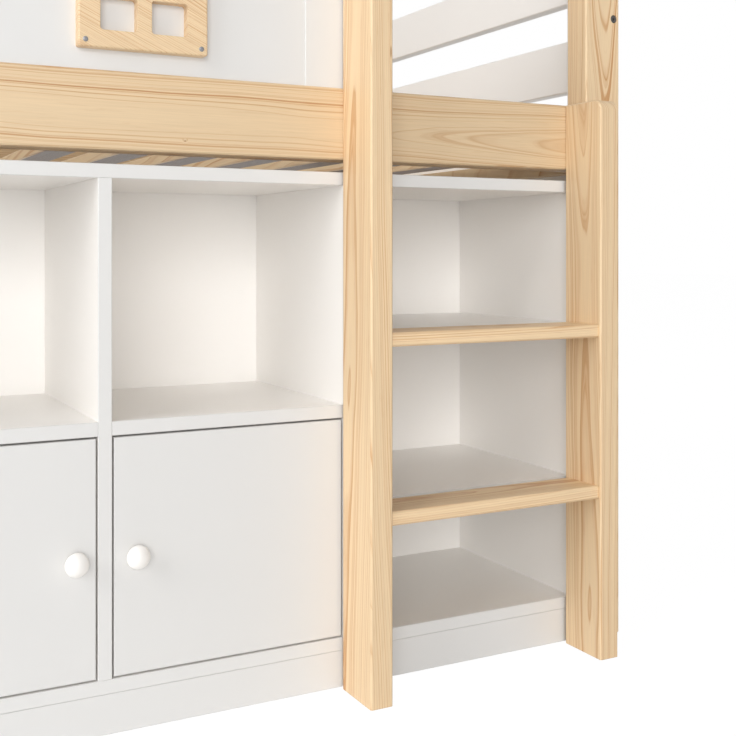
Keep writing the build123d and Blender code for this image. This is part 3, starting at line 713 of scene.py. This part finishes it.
class BED_OT_posts_and_rails(bpy.types.Operator):
    """Pine posts, side rails, ledgers and the cap of the front guard"""

    bl_idname = "bed.posts_and_rails"
    bl_label = "Posts and rails"

    def execute(self, context):
        aside, behind = 0.006, 0.048
        height, higher = 0.75, 0.11
        lean, straighter = 0.034, 0.01
        for number, node in enumerate(
            ("post_front_right", "post_front_left", "post_rear_right", "post_rear_left")
        ):
            middle = centre(node)
            inward = 1 if "front" in node else -1
            pith = (middle.x + aside, middle.y + inward * behind, height + higher * number)
            tilt = (0.008, lean - straighter * number)
            finish_node(node, pine(f"pine_{node}", "Z", pith, tilt))
        for node, inward in (("rail_front", 1), ("rail_rear", -1)):
            middle = centre(node)
            low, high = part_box(node)
            face = low.y if inward > 0 else high.y
            knots = [(x, face, z, radius, stretch) for x, z, radius, stretch in RAIL_KNOTS]
            pith = (0.31, middle.y + inward * 0.046, middle.z - 0.006)
            wood = pine(f"pine_{node}", "X", pith, (0.010, 0.006), knots, tone=0.90)
            finish_node(node, wood)
        low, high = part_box("guard_cap")
        pith = (0, (low.y + high.y) / 2 + 0.055, (low.z + high.z) / 2)
        finish_node("guard_cap", pine("pine_guard_cap", "X", pith, (0.012, 0.009)))
        for node in ("ledger_front", "ledger_rear"):
            middle = centre(node)
            pith = (0, middle.y, middle.z - 0.07)
            finish_node(node, pine(f"pine_{node}", "X", pith, (0.01, 0.02)))
        low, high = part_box("ledgers_end")
        pith = (low.x - 0.09, 0, low.z)
        finish_node("ledgers_end", pine("pine_ledgers_end", "Y", pith, (0.02, 0.01)))
        finish_node("packers", pine("pine_packers", "Z", (0.1, -0.5, 0), (0.01, 0.01)))
        return {"FINISHED"}


class BED_OT_ladder(bpy.types.Operator):
    """Pine ladder stiles, whose narrow faces show tight lines, and the housed steps"""

    bl_idname = "bed.ladder"
    bl_label = "Ladder"

    def execute(self, context):
        for node, side in (("ladder_stile_left", 1), ("ladder_stile_right", -1)):
            middle = centre(node)
            pith = (middle.x + 0.064, middle.y + side * 0.010, 0.52 + side * 0.17)
            slits = [RESIN_SLIT] if side > 0 else ()
            finish_node(node, pine(f"pine_{node}", "Z", pith, (0.006, side * 0.030), slits))
        for node, rise in (("step_upper", 0.058), ("step_lower", 0.070)):
            middle = centre(node)
            pith = (middle.x + 0.08, middle.y + 0.012, middle.z - rise)
            finish_node(node, pine(f"pine_{node}", "X", pith, (0.030, 0.010), tone=1.07))
        return {"FINISHED"}


class BED_OT_slats(bpy.types.Operator):
    """Pine slats, each cut from another board"""

    bl_idname = "bed.slats"
    bl_label = "Slats"

    def execute(self, context):
        low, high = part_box("slats")
        edges = sorted(min(point.x for point in points) for points in solids("slats"))
        pitch = (edges[-1] - edges[0]) / (len(edges) - 1)
        pith = (low.x - 0.05, (low.y + high.y) / 2, low.z - 0.06)
        repeat = ("X", low.x - pitch * 0.2, pitch)
        wood = pine("pine_slats", "Y", pith, (0.012, 0.010), repeat=repeat)
        # The slats' undersides get painted shade.
        painted_underside_shade(wood, context.scene.bed_pine.shaded)
        finish_node("slats", wood)
        return {"FINISHED"}


class BED_OT_window_trims(bpy.types.Operator):
    """Pine window trims on the guard panel, with their dull round screws"""

    bl_idname = "bed.window_trims"
    bl_label = "Window trims"

    def execute(self, context):
        for index in (1, 2, 3):
            node = f"window_trim_{index}"
            middle = centre(node)
            pith = (middle.x + 0.03, middle.y + 0.030, middle.z + 0.035)
            finish_node(node, pine(f"pine_{node}", "X", pith, (0.10, 0.42)))
        sizes = context.scene.bed_fasteners
        zinc = metal("zinc_screws", (0.27, 0.27, 0.28), 0.50)
        shape = bmesh.new()
        dome = sizes.screw_proud * 0.45
        for matrix, length in seats("trim_screws"):
            profile = [
                (-dome * 0.9, 0), (-dome * 0.9, sizes.screw_head * 0.30),
                (0, sizes.screw_head * 0.42), (-dome * 0.35, sizes.screw_head * 0.75),
                (-dome, sizes.screw_head),
                (-sizes.screw_proud, sizes.screw_head), (-sizes.screw_proud, sizes.screw_shank),
                (-length, sizes.screw_shank), (-length, 0),
            ]
            turned(shape, profile, matrix, sizes.sides)
        made = to_object(shape, "trim_screws_turned", zinc)
        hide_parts("trim_screws")
        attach(made, "bed")
        return {"FINISHED"}


class BED_OT_white_frame(bpy.types.Operator):
    """White end frames, rear guard and front guard panel"""

    bl_idname = "bed.white_frame"
    bl_label = "White frame"

    def execute(self, context):
        paint = context.scene.bed_lacquer
        # End frames and the rear guard take the brighter board white: painted light on faces the
        # lamps reach less.
        upright = lacquer("white_upright_boards", paint.board, "Z")
        cross = lacquer("white_end_boards", paint.board, "Y")
        long = lacquer("white_rear_boards", paint.board, "X")
        for node in ("end_stiles_left", "end_stiles_right", "rear_guard_stiles"):
            finish_node(node, upright)
        finish_node("guard_uprights", lacquer("white_front_uprights", paint.white, "Z"))
        for side in ("left", "right"):
            finish_node(f"end_rails_{side}", cross)
            finish_node(f"end_guard_boards_{side}", cross)
        finish_node("rear_guard_boards", long)
        finish_node("guard_panel", lacquer("white_panel", paint.white))
        return {"FINISHED"}


class BED_OT_cabinets(bpy.types.Operator):
    """White cupboards and bookcase behind the ladder"""

    bl_idname = "bed.cabinets"
    bl_label = "Cabinets"

    def execute(self, context):
        paint = context.scene.bed_lacquer
        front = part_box("bookcase_sides")[0].y
        # Cabinet boards and backs take the brighter board white: painted light inside the cabinets.
        # Only the front edge keeps the doors' white.
        board = lacquer("white_cabinet_boards", paint.board, front_edge_y=front)
        names = ["bookcase_floor", "bookcase_shelves", "bookcase_sides", "bookcase_top"]
        for side in ("left", "right"):
            names += [f"cupboard_{side}_{part}" for part in ("floor", "shelves", "top", "uprights")]
        for node in names:
            finish_node(node, board)
        finish_node("cabinet_plinths", lacquer("white_plinths", paint.white))
        finish_node("cabinet_backs", lacquer("white_backs", paint.board))
        return {"FINISHED"}


class BED_OT_doors_and_knobs(bpy.types.Operator):
    """White inset doors, each with a turned white knob"""

    bl_idname = "bed.doors_and_knobs"
    bl_label = "Doors and knobs"

    def execute(self, context):
        sizes = context.scene.bed_knobs
        paint = context.scene.bed_lacquer
        leaf = lacquer("white_doors", paint.white)
        # The knobs take the brighter board white too.
        knob_white = lacquer("white_knobs", paint.board)
        waist_steps, rim_steps, face_steps = 10, 22, 12
        for number in DOORS:
            finish_node(f"door_{number}", leaf)
            low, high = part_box(f"knob_{number}")
            length = high.y - low.y
            radius = (high.z - low.z) / 2
            foot = (0, sizes.foot_radius)
            neck = (sizes.neck_length / 2, sizes.neck_radius)
            waist_end = (sizes.neck_length, sizes.foot_radius)
            rim = ((sizes.neck_length + sizes.face_start) / 2, radius)
            face = (sizes.face_start, sizes.face_radius)
            rise = length**2 - face[0] ** 2 - face[1] ** 2
            face_middle = rise / (2 * (length - face[0]))
            dome = length - face_middle
            opening = math.asin(face[1] / dome)
            shell = [(0, 0), foot]
            shell += arc(foot, neck, waist_end, waist_steps) + arc(waist_end, rim, face, rim_steps)
            for step in range(1, face_steps):
                angle = opening * (1 - step / face_steps)
                shell.append((face_middle + dome * math.cos(angle), dome * math.sin(angle)))
            shell.append((length, 0))
            spot = Vector(((low.x + high.x) / 2, high.y, (low.z + high.z) / 2))
            matrix = Matrix.Translation(spot) @ Matrix.Rotation(math.radians(90), 4, "X")
            shape = bmesh.new()
            turned(shape, shell, matrix, sizes.sides)
            made = to_object(shape, f"knob_{number}_turned", knob_white, KNOB_SHARP_ANGLE)
            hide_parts(f"knob_{number}")
            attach(made, f"door_{number}")
        return {"FINISHED"}


class BED_OT_hinges(bpy.types.Operator):
    """Nickel-plated hinge cups in the doors and cranked arms on the uprights"""

    bl_idname = "bed.hinges"
    bl_label = "Hinges"

    def execute(self, context):
        nickel = metal("nickel_hinges", (0.72, 0.71, 0.69), 0.27, (1, 1, 0.08))
        finish_node("hinge_arms", nickel)
        for number in DOORS:
            finish_node(f"hinge_cups_{number}", nickel)
        return {"FINISHED"}


class BED_OT_bolts_and_nuts(bpy.types.Operator):
    """Black socket bolts and plated barrel nuts of the bed frame"""

    bl_idname = "bed.bolts_and_nuts"
    bl_label = "Bolts and nuts"

    def execute(self, context):
        black = metal("black_bolts", (0.12, 0.115, 0.11), 0.48)
        socket_bolts("frame_bolts_turned", "frame_bolts", black)
        socket_bolts("ladder_bolts_turned", "ladder_bolts", black)
        finish_node("barrel_nuts", metal("zinc_nuts", (0.60, 0.61, 0.62), 0.33))
        return {"FINISHED"}


class BED_OT_studio(bpy.types.Operator):
    """Pale floor, even light, two soft lamps and the camera"""

    bl_idname = "bed.studio"
    bl_label = "Studio"

    def floor(self, studio):
        """A wide white floor that keeps the bed's shadow."""
        shape = bmesh.new()
        bmesh.ops.create_circle(shape, cap_ends=True, segments=FLOOR_SIDES, radius=FLOOR_RADIUS)
        made, tree, shader = new_finish("studio_floor")
        spot = place(tree)
        shader.inputs["Roughness"].default_value = 0.9
        mottle = noise(tree, spot, (4, 4, 4), 2)[0]
        tone = mixed(tree, mottle, full((0.86, 0.86, 0.86)), full((0.84, 0.84, 0.84)))
        feed(tree, shader.inputs["Base Color"], tone)
        glow = add_node(tree, "ShaderNodeEmission")
        ray = add_node(tree, "ShaderNodeLightPath")
        seen = sum_of(tree, "MAXIMUM", ray.outputs["Is Camera Ray"], ray.outputs["Is Glossy Ray"])
        blend = add_node(tree, "ShaderNodeMixShader")
        feed(tree, blend.inputs[0], sum_of(tree, "MULTIPLY", seen, studio.floor_glow))
        feed(tree, blend.inputs[1], shader.outputs[0])
        glow.inputs["Strength"].default_value = FLOOR_WHITE
        feed(tree, blend.inputs[2], glow.outputs[0])
        output = tree.nodes["Material Output"]
        feed(tree, output.inputs[0], blend.outputs[0])
        ground = to_object(shape, "studio_floor", made)
        ground.location.z = -FLOOR_DROP

    def surround(self, studio, scene):
        """White for the camera and for reflections, and even light on the bed."""
        world = bpy.data.worlds.new("studio_world")
        world.use_nodes = True
        tree = world.node_tree
        sky = tree.nodes["Background"]
        sky.inputs[0].default_value = (1, 1, 1, 1)
        ray = add_node(tree, "ShaderNodeLightPath")
        seen = sum_of(tree, "MAXIMUM", ray.outputs["Is Camera Ray"], ray.outputs["Is Glossy Ray"])
        seen = sum_of(tree, "MAXIMUM", seen, ray.outputs["Is Transmission Ray"])
        strength = sum_of(tree, "MULTIPLY_ADD", seen, 1 - studio.fill, studio.fill)
        feed(tree, sky.inputs[1], strength)
        scene.world = world

    def lamp(self, name, spot, aim, size, power):
        """A large soft lamp that points at a place."""
        light = bpy.data.lights.new(name, "AREA")
        light.shape = "SQUARE"
        light.size = size
        light.energy = power
        made = bpy.data.objects.new(name, light)
        made.location = spot
        made.rotation_euler = (Vector(aim) - Vector(spot)).to_track_quat("-Z", "Y").to_euler()
        bpy.context.scene.collection.objects.link(made)

    def execute(self, context):
        scene = context.scene
        studio = scene.bed_studio
        scene.view_settings.view_transform = "Standard"
        self.floor(studio)
        self.surround(studio, scene)
        self.lamp("key_lamp", KEY_SPOT, LAMP_AIM, KEY_SIZE, studio.key_power)
        self.lamp("front_lamp", FRONT_SPOT, LAMP_AIM, FRONT_SIZE, studio.front_power)
        view = bpy.data.cameras.new("camera")
        view.lens = studio.lens
        view.sensor_width = SENSOR_WIDTH
        view.shift_x, view.shift_y = CAMERA_SHIFT
        view.clip_start = CLIP_START
        holder = bpy.data.objects.new("camera", view)
        holder.location = CAMERA_SPOT
        holder.rotation_euler = [math.radians(degrees) for degrees in CAMERA_TURN]
        scene.collection.objects.link(holder)
        scene.camera = holder
        return {"FINISHED"}


class BED_PT_pieces(bpy.types.Panel):
    """Lists the pieces of the bed in the 3D view's sidebar"""

    bl_idname = "BED_PT_pieces"
    bl_label = "Mid sleeper bed"
    bl_space_type = "VIEW_3D"
    bl_region_type = "UI"
    bl_category = "Bed"

    def draw(self, context):
        for operator in OPERATORS:
            self.layout.operator(operator.bl_idname)
        for name in SETTINGS:
            group = getattr(context.scene, name)
            box = self.layout.box()
            for key in type(group).__annotations__:
                box.prop(group, key)


SETTINGS = {
    "bed_pine": PineSettings,
    "bed_lacquer": LacquerSettings,
    "bed_knobs": KnobSettings,
    "bed_fasteners": FastenerSettings,
    "bed_studio": StudioSettings,
}
OPERATORS = (
    BED_OT_studio,
    BED_OT_posts_and_rails,
    BED_OT_ladder,
    BED_OT_slats,
    BED_OT_window_trims,
    BED_OT_white_frame,
    BED_OT_cabinets,
    BED_OT_doors_and_knobs,
    BED_OT_hinges,
    BED_OT_bolts_and_nuts,
)


def register():
    """Registers the settings, operators and panel."""
    for name, group in SETTINGS.items():
        bpy.utils.register_class(group)
        setattr(bpy.types.Scene, name, bpy.props.PointerProperty(type=group))
    for kind in OPERATORS + (BED_PT_pieces,):
        bpy.utils.register_class(kind)


def unregister():
    """Takes away what register added."""
    for kind in reversed(OPERATORS + (BED_PT_pieces,)):
        bpy.utils.unregister_class(kind)
    for name, group in reversed(SETTINGS.items()):
        delattr(bpy.types.Scene, name)
        bpy.utils.unregister_class(group)


def main():
    """Makes every piece in order."""
    register()
    for operator in OPERATORS:
        group, action = operator.bl_idname.split(".")
        getattr(getattr(bpy.ops, group), action)()


if __name__ == "__main__":
    main()
